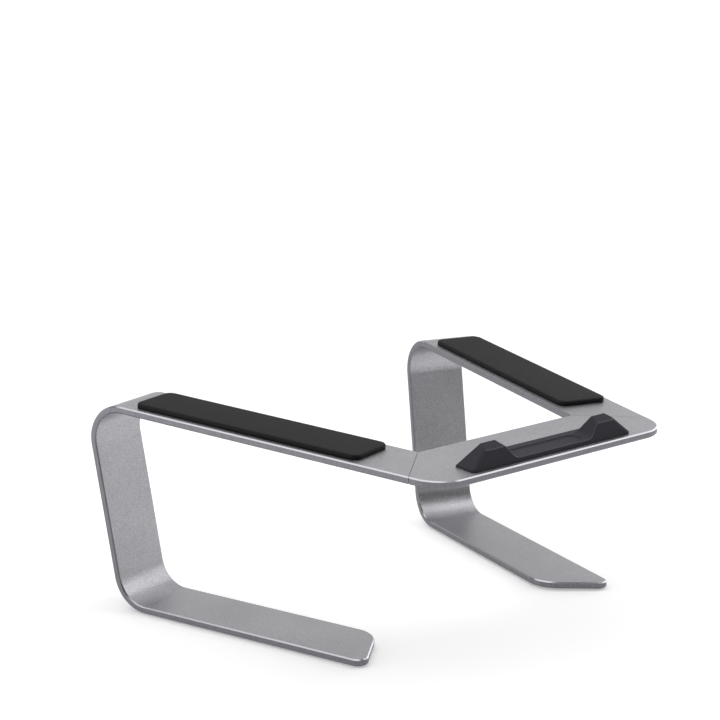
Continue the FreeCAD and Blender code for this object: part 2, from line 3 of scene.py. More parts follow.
import bmesh
import bpy
import numpy as np
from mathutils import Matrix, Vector


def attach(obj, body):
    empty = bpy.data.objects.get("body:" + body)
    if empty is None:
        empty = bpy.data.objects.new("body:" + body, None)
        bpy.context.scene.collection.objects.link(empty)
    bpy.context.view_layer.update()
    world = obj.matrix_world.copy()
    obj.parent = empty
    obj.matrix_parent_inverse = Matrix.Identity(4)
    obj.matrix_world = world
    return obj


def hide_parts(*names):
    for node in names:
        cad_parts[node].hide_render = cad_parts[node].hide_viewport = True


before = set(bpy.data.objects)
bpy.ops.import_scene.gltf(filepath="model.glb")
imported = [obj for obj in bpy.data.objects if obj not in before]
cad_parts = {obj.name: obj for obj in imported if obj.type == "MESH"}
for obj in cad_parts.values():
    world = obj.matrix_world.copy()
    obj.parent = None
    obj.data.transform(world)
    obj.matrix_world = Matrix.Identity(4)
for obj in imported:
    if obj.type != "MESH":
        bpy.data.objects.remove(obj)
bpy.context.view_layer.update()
scene = bpy.context.scene
scene.view_settings.view_transform = "Standard"
mm = 0.001
print("frame loaded:", len(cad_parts), "nodes")

# where the deck and the two strips lie, in mm and degrees, as the part's source has them
deck = {"frontY": -117.953, "height": 110.0, "tilt": 2.85, "thickness": 4.0}
strip = {"sideX": 86.5, "splay": 14.45}

tilt = radians(deck["tilt"])
splay = radians(strip["splay"])
deckUp = Vector((0, -sin(tilt), cos(tilt)))
upAxis = Vector((0, 0, 1))
backAxis = Vector((0, 1, 0))


def onDeck(x, y, h):  # x across, y back from the front edge, h above the top face
    return Vector((x, deck["frontY"] + y * cos(tilt) - h * sin(tilt),
                   deck["height"] + y * sin(tilt) + h * cos(tilt))) * mm


def onStrip(side, along, across, h):  # side is +1 for the right strip and -1 for the left one
    x = strip["sideX"] + along * sin(splay) - across * cos(splay)
    return onDeck(side * x, along * cos(splay) + across * sin(splay), h)


def lateralAxis(side):  # level direction across a strip, the same through both of its bends
    return Vector((side * cos(splay), -sin(splay) * cos(tilt), -sin(splay) * sin(tilt)))


# small helpers for node trees
def addNode(tree, kind, **values):
    node = tree.nodes.new(kind)
    for key, value in values.items():
        setattr(node, key, value)
    return node


def feed(tree, node, **sockets):  # a socket's value, or the output that drives it, by position
    for key, value in sockets.items():
        target = node.inputs[int(key[1:])]
        if isinstance(value, bpy.types.NodeSocket):
            tree.links.new(value, target)
        else:
            target.default_value = value
    return node


def mathNode(tree, operation, first, second=0.0, clamp=False):
    node = addNode(tree, "ShaderNodeMath", operation=operation, use_clamp=clamp)
    return feed(tree, node, i0=first, i1=second).outputs[0]


def halfOf(tree, value):
    return mathNode(tree, "MULTIPLY", value, 0.5)


def dotNode(tree, vector, axis):
    node = addNode(tree, "ShaderNodeVectorMath", operation="DOT_PRODUCT")
    return feed(tree, node, i0=vector, i1=tuple(axis)).outputs["Value"]


def rangeNode(tree, value, fromLow, fromHigh, toLow, toHigh, smooth=False):
    node = addNode(tree, "ShaderNodeMapRange")
    node.interpolation_type = "SMOOTHSTEP" if smooth else "LINEAR"
    feed(tree, node, i0=value, i1=fromLow, i2=fromHigh, i3=toLow, i4=toHigh)
    return node.outputs[0]


def noiseNode(tree, vector, scale, detail, rough):
    node = addNode(tree, "ShaderNodeTexNoise")
    tree.links.new(vector, node.inputs["Vector"])
    node.inputs["Scale"].default_value = scale
    node.inputs["Detail"].default_value = detail
    node.inputs["Roughness"].default_value = rough
    return node.outputs["Fac"]


def mixColour(tree, factor, first, second):
    node = addNode(tree, "ShaderNodeMix", data_type="RGBA")
    return feed(tree, node, i0=factor, i6=first, i7=second).outputs[2]


def mixValue(tree, factor, first, second):
    node = addNode(tree, "ShaderNodeMix", data_type="FLOAT")
    return feed(tree, node, i0=factor, i2=first, i3=second).outputs[0]


def bumpNode(tree, height, strength, distance):
    node = addNode(tree, "ShaderNodeBump")
    feed(tree, node, i0=strength, i1=distance)
    tree.links.new(height, node.inputs["Height"])
    return node.outputs["Normal"]


def newMaterial(name):
    material = bpy.data.materials.new(name)
    material.use_nodes = True
    tree = material.node_tree
    tree.nodes.clear()
    shader = addNode(tree, "ShaderNodeBsdfPrincipled")
    output = addNode(tree, "ShaderNodeOutputMaterial")
    tree.links.new(shader.outputs[0], output.inputs[0])
    place = addNode(tree, "ShaderNodeTexCoord")
    return material, tree, shader, place


# in every look, a noise is given by its scale, detail and roughness, and a share by its ends
wideBand = (0.3, 0.7)  # the part of a noise that is used
tightBand = (0.35, 0.65)
fullShare = (0.0, 1.0)

# anodised sheet: blasted faces; edges with real milling streaks under a darker painted shade; upper
# chamfers paler, partly a polished cut and partly a painted highlight, lower chamfers in the edges'
# painted shade
sheetLook = {
    "pale": (0.525, 0.521, 0.550, 1), "deep": (0.292, 0.289, 0.308, 1),
    # edge colours are painted shade, darker than the faces, with real milling streaks between the two
    "edge": (0.205, 0.202, 0.223, 1), "edgeDeep": (0.170, 0.168, 0.185, 1),
    # chamfer colour: a polished cut, and also a painted highlight, given only to chamfers that face up
    "chamfer": (0.470, 0.466, 0.490, 1),
    "grain": (1150.0, 2.0, 0.6), "grainShare": (0.07, 0.79),
    "cloud": (26.0, 3.0, 0.55), "cloudShare": (0.0, 0.14),
    "streak": (900.0, 2.0, 0.6), "streakStretch": (1.0, 1.0, 14.0),
    "rough": (0.34, 0.46), "chamferRough": 0.24,
    "fine": (2400.0, 3.0, 0.6), "bumpStrength": 0.45, "bumpDepth": 0.00010,
    "edgeLean": 0.9, "chamferLean": 0.7071, "chamferBand": 0.17,  # 0 on a face, 1 on an edge
    # painted light: above this a chamfer gets the painted highlight, below it the edges' painted shade
    "brightFrom": 0.10, "brightTo": 0.45,  # how far up a chamfer faces where it turns bright
}


# a normal along the sheet's own is a face, one square to it an edge, and one halfway a chamfer
def sheetMaterial(name, lateral, flats):
    look = sheetLook
    material, tree, shader, place = newMaterial(name)
    point = place.outputs["Object"]
    normal = place.outputs["Normal"]
    leaning = None
    if lateral is not None:
        leaning = mathNode(tree, "ABSOLUTE", dotNode(tree, normal, lateral))
    for up, axis, limit in flats:  # a flat stretch, below the limit along its axis
        square = mathNode(tree, "POWER", dotNode(tree, normal, up), 2.0)
        aside = mathNode(tree, "SQRT", mathNode(tree, "SUBTRACT", 1.0, square, True))
        if axis is not None:
            inside = mathNode(tree, "LESS_THAN", dotNode(tree, point, axis), limit)
            aside = mathNode(tree, "MULTIPLY", aside, inside)
        leaning = aside if leaning is None else mathNode(tree, "MAXIMUM", leaning, aside)
    edge = mathNode(tree, "GREATER_THAN", leaning, look["edgeLean"])
    chamfer = mathNode(tree, "COMPARE", leaning, look["chamferLean"])
    chamfer.node.inputs[2].default_value = look["chamferBand"]
    # painted light: only the upper chamfers get the paler colour, as a painted highlight, and the lower
    # ones get the edges' darker colour, as painted shade
    upward = dotNode(tree, normal, upAxis)
    paintedShadeBelow = rangeNode(tree, upward, look["brightFrom"], look["brightTo"], 1.0, 0.0, True)
    edge = mathNode(tree, "MAXIMUM", edge, mathNode(tree, "MULTIPLY", chamfer, paintedShadeBelow))
    chamfer = mathNode(tree, "SUBTRACT", chamfer, paintedShadeBelow, True)

    grain = noiseNode(tree, point, *look["grain"])
    cloud = noiseNode(tree, point, *look["cloud"])
    blend = mathNode(tree, "ADD", rangeNode(tree, grain, *wideBand, *look["grainShare"]),
                     rangeNode(tree, cloud, *tightBand, *look["cloudShare"]))
    face = mixColour(tree, blend, look["deep"], look["pale"])
    stretched = addNode(tree, "ShaderNodeMapping", vector_type="TEXTURE")
    feed(tree, stretched, i0=point, i3=look["streakStretch"])
    streak = noiseNode(tree, stretched.outputs[0], *look["streak"])
    streak = rangeNode(tree, streak, *tightBand, *fullShare)
    # the milling streaks are real; the edges' darker tone is painted shade
    milledAndShaded = mixColour(tree, streak, look["edgeDeep"], look["edge"])
    colour = mixColour(tree, edge, face, milledAndShaded)
    colour = mixColour(tree, chamfer, colour, look["chamfer"])
    tree.links.new(colour, shader.inputs["Base Color"])
    rough = rangeNode(tree, grain, *wideBand, *look["rough"])
    rough = mixValue(tree, chamfer, rough, look["chamferRough"])
    tree.links.new(rough, shader.inputs["Roughness"])
    shader.inputs["Metallic"].default_value = 1.0
    fine = noiseNode(tree, point, *look["fine"])
    strength = mixValue(tree, chamfer, look["bumpStrength"], 0.0)
    tree.links.new(bumpNode(tree, fine, strength, look["bumpDepth"]), shader.inputs["Normal"])
    return material


footTop = 5.6 * mm  # above the foot's top face and its chamfer, below the bend
armFront = -60.0 * mm  # the arm is flat in front of this line
# the sheet materials hold real grain and milling streaks, with painted shade on the edges and lower
# chamfers and a painted highlight on the upper chamfers
plateGrainAndPaintedLight = sheetMaterial("plate_finish", None, [(deckUp, None, 0.0)])
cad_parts["front_plate"].material_slots[0].material = plateGrainAndPaintedLight
for node, side in (("right_leg", 1), ("left_leg", -1)):
    flats = [(upAxis, upAxis, footTop), (deckUp, backAxis, armFront)]
    legGrainAndPaintedLight = sheetMaterial(node + "_finish", lateralAxis(side), flats)
    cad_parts[node].material_slots[0].material = legGrainAndPaintedLight
print("sheet finish on the plate and both legs")

# moulded silicone of the front stop and rubber of the pads
siliconeLook = {
    "deep": (0.0420, 0.0404, 0.0474, 1), "pale": (0.0520, 0.0501, 0.0587, 1),
    # paler colour painted on the soft front edges as a painted highlight
    "edge": (0.108, 0.104, 0.118, 1),
    "speck": (1900.0, 3.0, 0.6), "speckShare": (0.0, 0.6),
    "cloud": (60.0, 2.0, 0.5), "cloudShare": (0.0, 0.4),
    "rough": (0.46, 0.56), "specular": 0.03,
    "fine": (2600.0, 2.0, 0.5), "bumpStrength": 0.10, "bumpDepth": 0.00005,
}
rubberLook = {
    "deep": (0.0050, 0.0050, 0.0055, 1), "pale": (0.0095, 0.0093, 0.0100, 1),
    "speck": (1400.0, 3.0, 0.6), "speckShare": (0.0, 0.6),
    "cloud": (45.0, 2.0, 0.5), "cloudShare": (0.0, 0.4),
    "rough": (0.62, 0.78), "specular": 0.22,
    "fine": (1800.0, 2.0, 0.5), "bumpStrength": 0.22, "bumpDepth": 0.00008,
}


def mouldedMaterial(name, look):
    material, tree, shader, place = newMaterial(name)
    point = place.outputs["Object"]
    speck = noiseNode(tree, point, *look["speck"])
    cloud = noiseNode(tree, point, *look["cloud"])
    tone = mathNode(tree, "ADD", rangeNode(tree, speck, *wideBand, *look["speckShare"]),
                    rangeNode(tree, cloud, *wideBand, *look["cloudShare"]))
    colour = mixColour(tree, tone, look["deep"], look["pale"])
    if "edge" in look:  # painted highlight: paler along the soft front edges
        paintedHighlight = addNode(tree, "ShaderNodeAttribute", attribute_name="edgeTone")
        colour = mixColour(tree, paintedHighlight.outputs["Fac"], colour, look["edge"])
    tree.links.new(colour, shader.inputs["Base Color"])
    rough = rangeNode(tree, speck, *wideBand, *look["rough"])
    tree.links.new(rough, shader.inputs["Roughness"])
    shader.inputs["Specular IOR Level"].default_value = look["specular"]
    fine = noiseNode(tree, point, *look["fine"])
    bump = bumpNode(tree, fine, look["bumpStrength"], look["bumpDepth"])
    tree.links.new(bump, shader.inputs["Normal"])
    return material


silicone = mouldedMaterial("stop_silicone_matt", siliconeLook)
rubber = mouldedMaterial("pad_rubber_black", rubberLook)
print("silicone and rubber ready")

# shared mesh helpers
mergeGap = 0.002 * mm
sliverGap = 0.001 * mm


def finishPiece(piece, slot, *nodes):
    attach(piece, "root")
    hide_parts(*nodes)
    print("piece", piece.name, "faces", len(piece.data.polygons))
    return piece


def meshPiece(name, verts, faces, material, sharpAngle, highlightTones=None):
    data = bpy.data.meshes.new(name)
    data.from_pydata(verts, [], faces)
    # a vertex tone that carries the painted highlight along the stop's front edges
    if highlightTones is not None:
        attribute = data.attributes.new("edgeTone", "FLOAT", "POINT")
        attribute.data.foreach_set("value", highlightTones)
    shell = bmesh.new()
    shell.from_mesh(data)
    bmesh.ops.remove_doubles(shell, verts=shell.verts, dist=mergeGap)
    bmesh.ops.dissolve_degenerate(shell, edges=shell.edges, dist=sliverGap)
    bmesh.ops.recalc_face_normals(shell, faces=shell.faces)
    shell.to_mesh(data)
    shell.free()
    data.shade_smooth()
    data.set_sharp_from_angle(angle=radians(sharpAngle))
    data.materials.append(material)
    piece = bpy.data.objects.new(name, data)
    scene.collection.objects.link(piece)
    return piece


def loftFaces(rows, columns):  # closed rows of points joined side by side, with a cap at both ends
    faces = []
    for row in range(rows - 1):
        here = row * columns
        there = here + columns
        for c in range(columns):
            d = (c + 1) % columns
            faces.append((here + c, here + d, there + d, there + c))
    last = (rows - 1) * columns
    return faces + [tuple(range(columns)), tuple(range(last, last + columns))]


# front stop: two humps and a sunk tray on one low base. Each face is a plane, and the skin lies where
# the planes meet, eased into each other
stop = {
    "front": 3.1, "rear": 21.3, "halfWidth": 61.5, "baseHeight": 2.5,
    "frontLean": 18.0, "endLean": 50.5, "backLean": 22.0, "innerLean": 42.0, "topSlope": 19.0,
    "humpHeight": 11.8, "humpRear": 17.4, "humpTop": 10.2,
    "cornerEase": 2.6, "edgeEase": 0.5, "backEase": 0.6, "hollowEase": 2.2,
    "footTrim": 0.1, "endTrim": 1.5, "frontCorner": 3.0, "rearCorner": 0.4,
    "ledgeStart": 42.0, "ledgeEnd": 53.0, "ledgeInside": 9.0,
    "trayFront": 5.8, "trayRear": 16.4, "trayHalf": 26.3,
    "traySink": 0.7, "trayCorner": 4.0, "trayWall": 0.9,
    # painted highlight: it fades out between these depths behind the front
    "paintedHighlightTo": (8.0, 6.6), "sharpAngle": 50, "searchSteps": 40,
    "waist": 10.0, "ledgeFold": 16.0,  # columns ahead of the waist follow the front, others the rear
    # stations out from the middle and columns back from the front: the end and the step of each run
    "stations": ((20.0, 4.0), (21.6, 0.8), (27.0, 0.2), (31.0, 0.25), (33.5, 0.5), (37.5, 0.16),
                 (45.5, 1.0), (51.0, 0.2), (56.0, 0.5)),
    "columns": ((4.6, 0.09), (8.0, 0.1), (10.0, 0.25), (12.0, 0.5), (14.2, 0.1), (16.6, 0.2),
                (18.6, 0.15), (20.2, 0.4)),
    "endStep": 0.12, "rearStep": 0.07,
}


def spaced(start, *runs):  # a rising row of numbers: each run gives its end and its step
    values = [start]
    for end, step in runs:
        first = values[-1]
        count = max(1, round((end - first) / step))
        values += [first + (end - first) * (i + 1) / count for i in range(count)]
    return np.array(values)


def easeMax(a, b, width):  # the larger one, with a round change from one to the other
    return np.maximum(a, b) + np.maximum(width - np.abs(a - b), 0) ** 2 / (4 * width)


def easeMin(a, b, width):
    return -easeMax(-a, -b, width)


def smoothStep(low, high, value):
    share = np.clip((value - low) / (high - low), 0, 1)
    return share * share * (3 - 2 * share)


def leanPlane(away, height, lean):  # distance outside a plane that leans back by an angle from upright
    return away * cos(radians(lean)) + height * sin(radians(lean))


def ledgeRear(x):  # the ledge behind the humps runs out towards both ends
    s = stop
    return s["rear"] - s["ledgeInside"] * smoothStep(s["ledgeStart"], s["ledgeEnd"], x)


def stopField(x, y, h):  # how far outside its sides and its tops a point is, x counted from the middle
    s = stop
    ridge = s["humpRear"] - s["humpHeight"] * tan(radians(s["backLean"]))
    topSlope = radians(s["topSlope"])
    outerTop = s["halfWidth"] - s["humpHeight"] * tan(radians(s["endLean"]))
    innerRun = (s["humpHeight"] - s["baseHeight"]) * tan(radians(s["innerLean"]))
    innerFoot = outerTop - s["humpTop"] - innerRun
    front = leanPlane(s["front"] - y, h, s["frontLean"])
    end = leanPlane(x - s["halfWidth"], h, s["endLean"])
    back = leanPlane(y - s["humpRear"], h, s["backLean"])
    inner = leanPlane(innerFoot - x, h - s["baseHeight"], s["innerLean"])
    top = (h - s["humpHeight"]) * cos(topSlope) + (ridge - y) * sin(topSlope)
    hump = easeMax(easeMax(top, inner, s["edgeEase"]), back, s["backEase"])
    base = easeMax(h - s["baseHeight"], y - ledgeRear(x), s["backEase"])
    sides = easeMax(front, end, s["cornerEase"])
    return sides, easeMin(hump, base, s["hollowEase"])


def stopHeight(x, y):  # where the skin lies above each point of the plan
    low = np.zeros_like(y)
    high = np.full_like(y, 2 * stop["humpHeight"])
    for i in range(stop["searchSteps"]):
        middle = (low + high) / 2
        inside = easeMax(*stopField(x, y, middle), stop["edgeEase"]) < 0
        low = np.where(inside, middle, low)
        high = np.where(inside, high, middle)
    return low


def traySunk(x, y):  # depth of the round-cornered tray, with sloping walls
    s = stop
    middle = (s["trayFront"] + s["trayRear"]) / 2
    overX = x - (s["trayHalf"] - s["trayCorner"])
    overY = np.abs(y - middle) - ((s["trayRear"] - s["trayFront"]) / 2 - s["trayCorner"])
    corner = np.hypot(np.maximum(overX, 0), np.maximum(overY, 0))
    within = s["trayCorner"] - corner - np.minimum(np.maximum(overX, overY), 0)
    return s["traySink"] * smoothStep(0, s["trayWall"], within)


def cornerInset(x, radius):  # how far a round corner draws the plan's edge in at this station
    over = np.clip(x - (stop["halfWidth"] - stop["endTrim"] - radius), 0, radius)
    return radius - np.sqrt(radius ** 2 - over ** 2)


# the section's columns, drawn in at the round corners and where the ledge runs out
def stopPlan(x, columns):
    s = stop
    waist = s["waist"]
    fold = s["ledgeFold"]
    frontY = s["front"] + s["footTrim"] + cornerInset(x, s["frontCorner"])
    plainRear = np.maximum(ledgeRear(x), s["humpRear"]) - s["footTrim"]
    rearY = plainRear - cornerInset(x, s["rearCorner"])
    onLedge = fold + (columns - fold) * (plainRear - fold) / (columns[-1] - fold)
    y = np.where(columns > fold, onLedge, columns)
    ahead = frontY + (y - columns[0]) * (waist - frontY) / (waist - columns[0])
    behind = waist + (y - waist) * (rearY - waist) / (plainRear - waist)
    return np.where(y < waist, ahead, behind)


def makeFrontStop():
    s = stop
    half = spaced(0.0, *s["stations"], (s["halfWidth"] - s["endTrim"], s["endStep"]))
    columns = spaced(s["front"] + s["footTrim"], *s["columns"], (s["rear"] - s["footTrim"], s["rearStep"]))
    verts, highlightTones = [], []
    for x in np.concatenate((-half[:0:-1], half)):
        y = stopPlan(abs(x), columns)
        h = stopHeight(abs(x), y)
        sides, tops = stopField(abs(x), y, h)
        # painted highlight along the eased edges, stored as a vertex tone
        paintedHighlight = np.clip(1 - np.abs(sides - tops) / s["edgeEase"], 0, 1)
        paintedHighlight = paintedHighlight * smoothStep(*s["paintedHighlightTo"], y)
        highlightTones += [0.0] + list(paintedHighlight) + [0.0]
        section = [(y[0], 0.0)] + list(zip(y, h - traySunk(abs(x), y))) + [(y[-1], 0.0)]
        verts += [onDeck(x, *place) for place in section]
    faces = loftFaces(2 * len(half) - 1, len(columns) + 2)
    piece = meshPiece("frontStop", verts, faces, silicone, s["sharpAngle"], highlightTones)
    return finishPiece(piece, "stop_silicone", "front_stop")


makeFrontStop()

# arm pads: soft slabs with round corners, crowned a little and rounded over at the rim
armPad = {
    "front": 54.37, "length": 150.0, "width": 31.0, "margin": 4.0, "height": 3.0,
    "cornerRadius": 5.0, "leastRadius": 0.02, "cornerSteps": 8,
    "footEase": 0.25, "rimRadius": 1.2, "rimSteps": 6,
    "crown": 0.18, "crownSteps": 8, "middleGap": 0.05, "sharpAngle": 60,
}


def padOutline(inset):  # round-cornered rectangle drawn in by the inset
    p = armPad
    halfX = p["length"] / 2 - inset
    halfY = p["width"] / 2 - inset
    r = max(p["cornerRadius"] - inset, p["leastRadius"])
    points = []
    for quarter, (sx, sy) in enumerate(((1, 1), (-1, 1), (-1, -1), (1, -1))):
        for i in range(p["cornerSteps"] + 1):
            a = (quarter + i / p["cornerSteps"]) * pi / 2
            points.append((sx * (halfX - r) + r * cos(a), sy * (halfY - r) + r * sin(a)))
    return points


def makeArmPad(name, side, node):
    p = armPad
    flat = p["height"] - p["crown"]
    ease = p["footEase"]
    rim = p["rimRadius"]
    rings = [(ease, 0.0), (0.0, ease), (0.0, flat - rim)]  # inset and height of each ring
    for i in range(1, p["rimSteps"] + 1):
        a = i / p["rimSteps"] * pi / 2
        rings.append((rim * (1 - cos(a)), flat - rim + rim * sin(a)))
    reach = p["width"] / 2 - p["middleGap"]
    for i in range(1, p["crownSteps"] + 1):
        inset = rim + (reach - rim) * i / p["crownSteps"]
        fall = 1 - (inset - rim) / (reach - rim)
        rings.append((inset, flat + p["crown"] * (1 - fall ** 2)))
    middleX = p["front"] + p["length"] / 2
    middleY = p["margin"] + p["width"] / 2
    verts = []
    for inset, h in rings:
        verts += [onStrip(side, middleX + x, middleY + y, h) for x, y in padOutline(inset)]
    faces = loftFaces(len(rings), len(verts) // len(rings))
    piece = meshPiece(name, verts, faces, rubber, p["sharpAngle"])
    finishPiece(piece, "pad_rubber", node)


makeArmPad("rightArmPad", 1, "right_arm_pad")
makeArmPad("leftArmPad", -1, "left_arm_pad")


# what repeats is made by geometry nodes: a tree with named sizes, run on a mesh of points
def newTree(name, sizes):
    tree = bpy.data.node_groups.new(name, "GeometryNodeTree")
    tree.interface.new_socket("Points", in_out="INPUT", socket_type="NodeSocketGeometry")
    tree.interface.new_socket("Geometry", in_out="OUTPUT", socket_type="NodeSocketGeometry")
    for size, value in sizes.items():
        socket = tree.interface.new_socket(size, in_out="INPUT", socket_type="NodeSocketFloat")
        socket.default_value = value
    return tree, addNode(tree, "NodeGroupInput"), addNode(tree, "NodeGroupOutput")


def runTree(name, tree, points, sizes):
    carrier = bpy.data.objects.new(name, points)
    scene.collection.objects.link(carrier)
    modifier = carrier.modifiers.new("build", "NODES")
    modifier.node_group = tree
    for item in tree.interface.items_tree:
        if item.in_out == "INPUT" and item.name in sizes:
            modifier[item.identifier] = sizes[item.name]
    graph = bpy.context.evaluated_depsgraph_get()
    result = bpy.data.meshes.new_from_object(carrier.evaluated_get(graph))
    carrier.modifiers.remove(modifier)
    carrier.data = result
    return carrier


def pointMesh(name, points, headings, ups):  # points that carry the way each copy faces
    data = bpy.data.meshes.new(name)
    data.from_pydata(points, [], [])
    for key, vectors in (("heading", headings), ("up", ups)):
        attribute = data.attributes.new(key, "FLOAT_VECTOR", "POINT")
        attribute.data.foreach_set("vector", [c for v in vectors for c in v])
    return data


def placeCopies(tree, source, shape, output, material):
    rotations = None
    for key, axis in (("up", "Z"), ("heading", "X")):
        named = addNode(tree, "GeometryNodeInputNamedAttribute", data_type="FLOAT_VECTOR")
        named.inputs[0].default_value = key
        turn = addNode(tree, "FunctionNodeAlignRotationToVector", axis=axis)
        if rotations is not None:
            tree.links.new(rotations, turn.inputs["Rotation"])
            turn.pivot_axis = "Z"
        tree.links.new(named.outputs[0], turn.inputs["Vector"])
        rotations = turn.outputs[0]
    spread = addNode(tree, "GeometryNodeInstanceOnPoints")
    tree.links.new(source, spread.inputs["Points"])
    tree.links.new(shape, spread.inputs["Instance"])
    tree.links.new(rotations, spread.inputs["Rotation"])
    real = addNode(tree, "GeometryNodeRealizeInstances")
    tree.links.new(spread.outputs[0], real.inputs[0])
    paint = addNode(tree, "GeometryNodeSetMaterial")
    paint.inputs["Material"].default_value = material
    tree.links.new(real.outputs[0], paint.inputs["Geometry"])
    tree.links.new(paint.outputs[0], output.inputs[0])


# foot pads: a round drum pulled out to a long oval, with its lower rim rounded
footPad = {
    "length": 32.0, "width": 13.0, "thickness": 1.6, "rim": 0.45,
    "sides": 64, "layers": 24, "sharpAngle": 50,
    "nudge": 1e-7,  # sends the points on the middle line to one end
    "places": {"front": (90.33, -19.50), "rear": (109.80, 56.04)},
}


def makeFootPads():
    p = footPad
    sizes = {key: p[key] * mm for key in ("length", "width", "thickness", "rim")}
    tree, source, output = newTree("footPadTree", sizes)
    length, width, thick, rim = (source.outputs[key] for key in sizes)
    radius = halfOf(tree, width)
    drum = addNode(tree, "GeometryNodeMeshCylinder", fill_type="NGON")
    drum.inputs["Vertices"].default_value = p["sides"]
    drum.inputs["Side Segments"].default_value = p["layers"]
    tree.links.new(radius, drum.inputs["Radius"])
    tree.links.new(thick, drum.inputs["Depth"])
    where = addNode(tree, "GeometryNodeInputPosition").outputs[0]
    split = addNode(tree, "ShaderNodeSeparateXYZ")
    tree.links.new(where, split.inputs[0])
    x, y, z = split.outputs
    height = mathNode(tree, "ADD", z, halfOf(tree, thick))
    # the rim's quarter circle: how far the wall draws in at this height
    below = mathNode(tree, "MAXIMUM", mathNode(tree, "SUBTRACT", rim, height), 0.0)
    share = mathNode(tree, "DIVIDE", below, rim)
    square = mathNode(tree, "MULTIPLY", share, share)
    arc = mathNode(tree, "SQRT", mathNode(tree, "SUBTRACT", 1.0, square, True))
    drawn = mathNode(tree, "MULTIPLY", rim, mathNode(tree, "SUBTRACT", 1.0, arc))
    factor = mathNode(tree, "DIVIDE", mathNode(tree, "SUBTRACT", radius, drawn), radius)
    # each end of the drum moves out by half of what the oval is longer than wide
    pull = halfOf(tree, mathNode(tree, "SUBTRACT", length, width))
    sign = mathNode(tree, "SIGN", mathNode(tree, "ADD", x, p["nudge"]))
    shift = mathNode(tree, "MULTIPLY", pull, sign)
    newX = mathNode(tree, "ADD", mathNode(tree, "MULTIPLY", x, factor), shift)
    newY = mathNode(tree, "MULTIPLY", y, factor)
    join = addNode(tree, "ShaderNodeCombineXYZ")
    feed(tree, join, i0=newX, i1=newY, i2=height)
    shape = addNode(tree, "GeometryNodeSetPosition")
    tree.links.new(drum.outputs["Mesh"], shape.inputs["Geometry"])
    tree.links.new(join.outputs[0], shape.inputs["Position"])
    placeCopies(tree, source.outputs["Points"], shape.outputs[0], output, rubber)
    points, headings = [], []
    for side in (1, -1):
        for x, y in p["places"].values():
            points.append((side * x * mm, y * mm, 0.0))
            headings.append((side * sin(splay), cos(splay), 0.0))
    data = pointMesh("footPadPoints", points, headings, [tuple(upAxis)] * len(points))
    piece = runTree("footPads", tree, data, sizes)
    piece.data.shade_smooth()
    piece.data.set_sharp_from_angle(angle=radians(p["sharpAngle"]))
    nodes = [side + "_" + end + "_foot_pad" for side in ("left", "right") for end in p["places"]]
    finishPiece(piece, "pad_rubber", *nodes)


makeFootPads()

# countersunk screws with hexagon sockets, flush with the underside of the lap
screw = {
    "shank": 3.0, "head": 5.6, "headDepth": 1.3, "length": 3.3, "socket": 2.0, "socketDepth": 1.1,
    "sides": 48, "socketSides": 6, "sharpAngle": 25,
    "places": ((78.23, -95.87, 108.55), (68.10, -87.09, 108.98)),
}
screwLook = {
    "deep": (0.30, 0.30, 0.31, 1), "pale": (0.42, 0.42, 0.43, 1),
    "brushed": (3200.0, 2.0, 0.6), "rough": (0.22, 0.36),
}


def screwMaterial():
    look = screwLook
    material, tree, shader, place = newMaterial("screw_steel_turned")
    brushed = noiseNode(tree, place.outputs["Object"], *look["brushed"])
    shade = rangeNode(tree, brushed, *wideBand, *fullShare)
    colour = mixColour(tree, shade, look["deep"], look["pale"])
    tree.links.new(colour, shader.inputs["Base Color"])
    rough = rangeNode(tree, brushed, *wideBand, *look["rough"])
    tree.links.new(rough, shader.inputs["Roughness"])
    shader.inputs["Metallic"].default_value = 1.0
    return material


